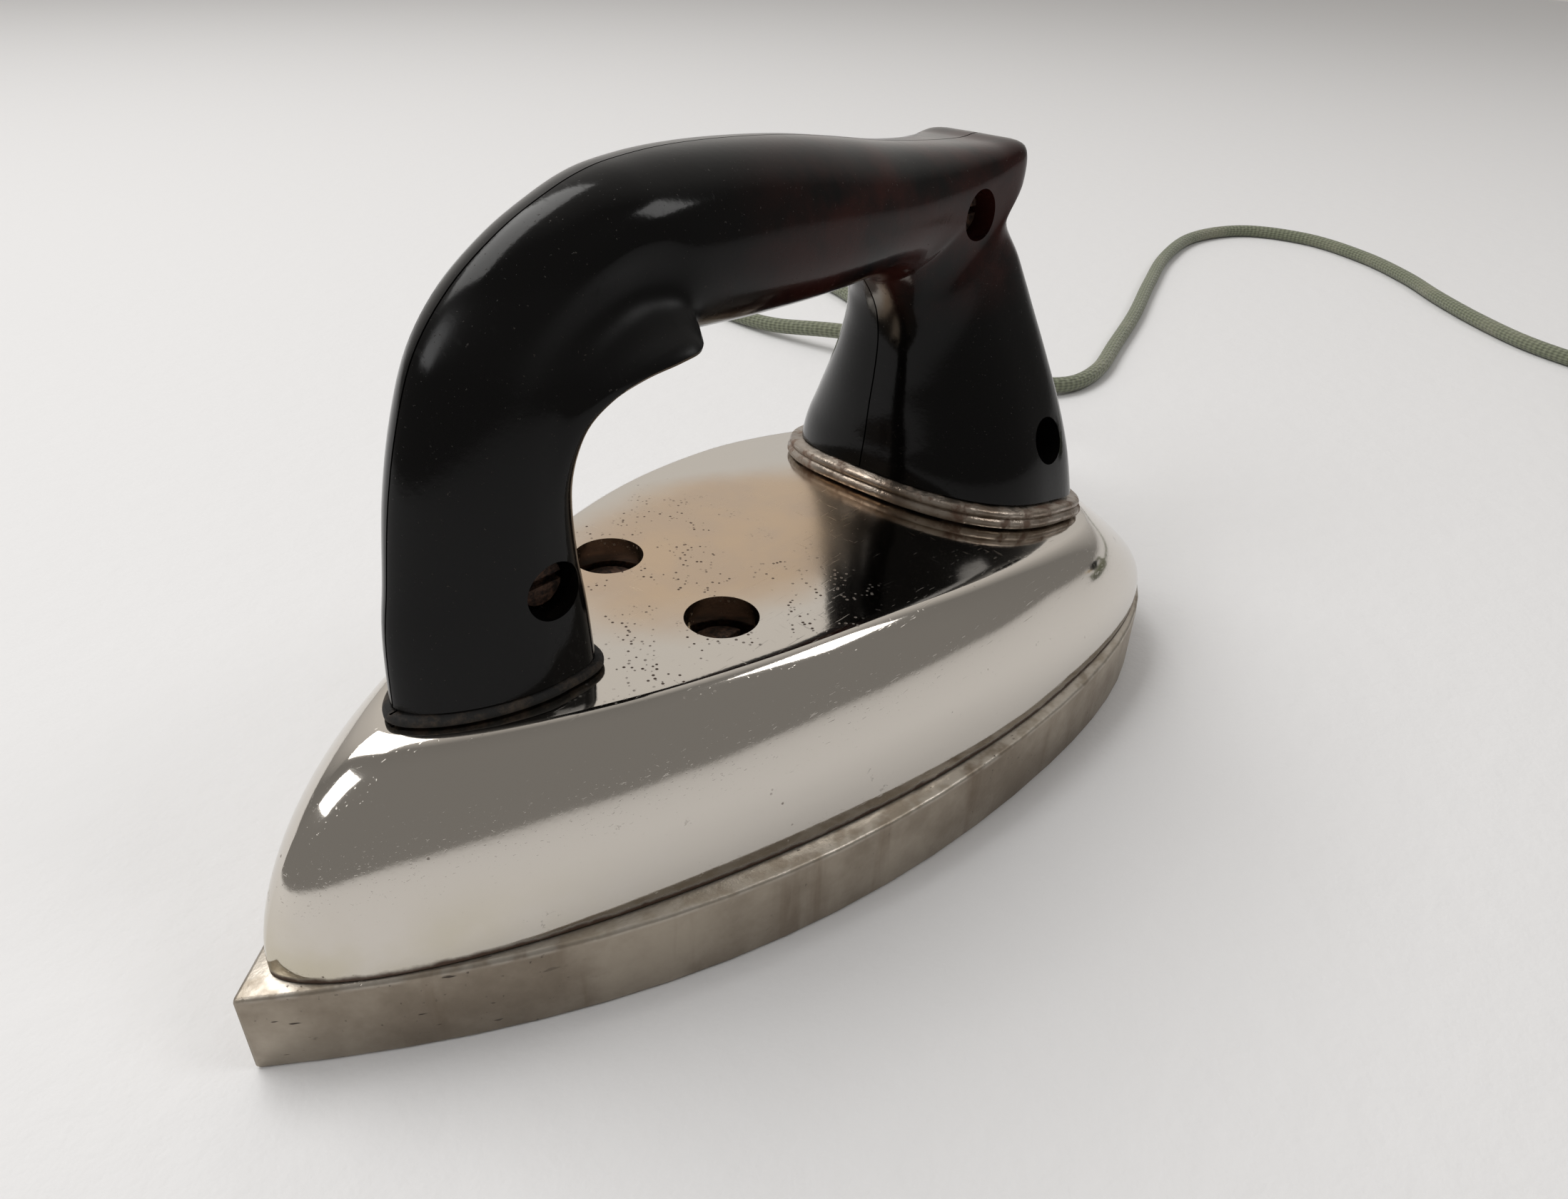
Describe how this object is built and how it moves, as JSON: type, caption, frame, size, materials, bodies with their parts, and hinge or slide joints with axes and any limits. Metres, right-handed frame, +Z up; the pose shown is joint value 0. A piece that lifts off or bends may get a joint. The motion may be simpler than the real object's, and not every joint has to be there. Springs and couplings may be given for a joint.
{
  "type": "electric clothes iron",
  "caption": "Vintage electric dry iron with a thick nickelled sole, a domed chrome shell, a black moulded handle and a green braided cord.",
  "frame": {"origin": "on the floor, under the middle of the sole's length and width", "axes": "+Z up; the sole's nose points along -X and its heel along +X; +Y is the iron's right side seen from the heel"},
  "size_m": [0.5865, 0.4097, 0.1141],
  "materials": {
    "worn_nickel": "worn nickel plating on cast iron, dull with brown stains",
    "worn_chrome": "bright chrome plating with fine scratches, rust pits and heat tint",
    "black_bakelite": "polished black phenolic moulding",
    "mica": "split mica sheet",
    "resistance_alloy": "oxidised resistance ribbon on a mica former",
    "millboard": "fibrous heat-proof board",
    "black_iron": "raw grey iron casting",
    "bright_steel": "plain steel",
    "rusty_steel": "steel with brown rust",
    "black_fibre": "hard fibre sheet",
    "porcelain": "white glazed porcelain",
    "brass": "turned brass",
    "black_rubber": "soft black rubber",
    "green_braid": "olive green braided cotton over rubber"
  },
  "bodies": {
    "root": {"clamp_nut_left": "bright_steel", "clamp_nut_right": "bright_steel", "coil_tie": "green_braid", "cord_coil": "green_braid", "cord_lead": "green_braid", "cord_sleeve": "black_rubber", "cord_tail": "green_braid", "element_lead_1": "resistance_alloy", "element_lead_2": "resistance_alloy", "front_bracket": "bright_steel", "front_bracket_rivet": "bright_steel", "front_seat_gasket": "black_fibre", "handle_left_half": "black_bakelite", "handle_nut_front": "bright_steel", "handle_nut_rear_lower": "bright_steel", "handle_nut_rear_upper": "bright_steel", "handle_right_half": "black_bakelite", "handle_screw_front": "rusty_steel", "handle_screw_rear_lower": "rusty_steel", "handle_screw_rear_upper": "rusty_steel", "heating_element": "resistance_alloy", "insulation_pad": "millboard", "mica_sheet_lower": "mica", "mica_sheet_upper": "mica", "plug_half_lower": "black_bakelite", "plug_half_upper": "black_bakelite", "plug_pin_1": "brass", "plug_pin_2": "brass", "plug_screw": "bright_steel", "pressure_plate": "black_iron", "rear_bracket": "bright_steel", "rear_collar_ring": "worn_nickel", "rear_left_bracket_rivet": "bright_steel", "rear_right_bracket_rivet": "bright_steel", "shell": "worn_chrome", "shell_nut_left": "rusty_steel", "shell_nut_right": "rusty_steel", "soleplate": "worn_nickel", "stud_left": "bright_steel", "stud_right": "bright_steel", "terminal_block": "porcelain", "terminal_screw_1": "brass", "terminal_screw_2": "brass"}
  },
  "joints": []
}
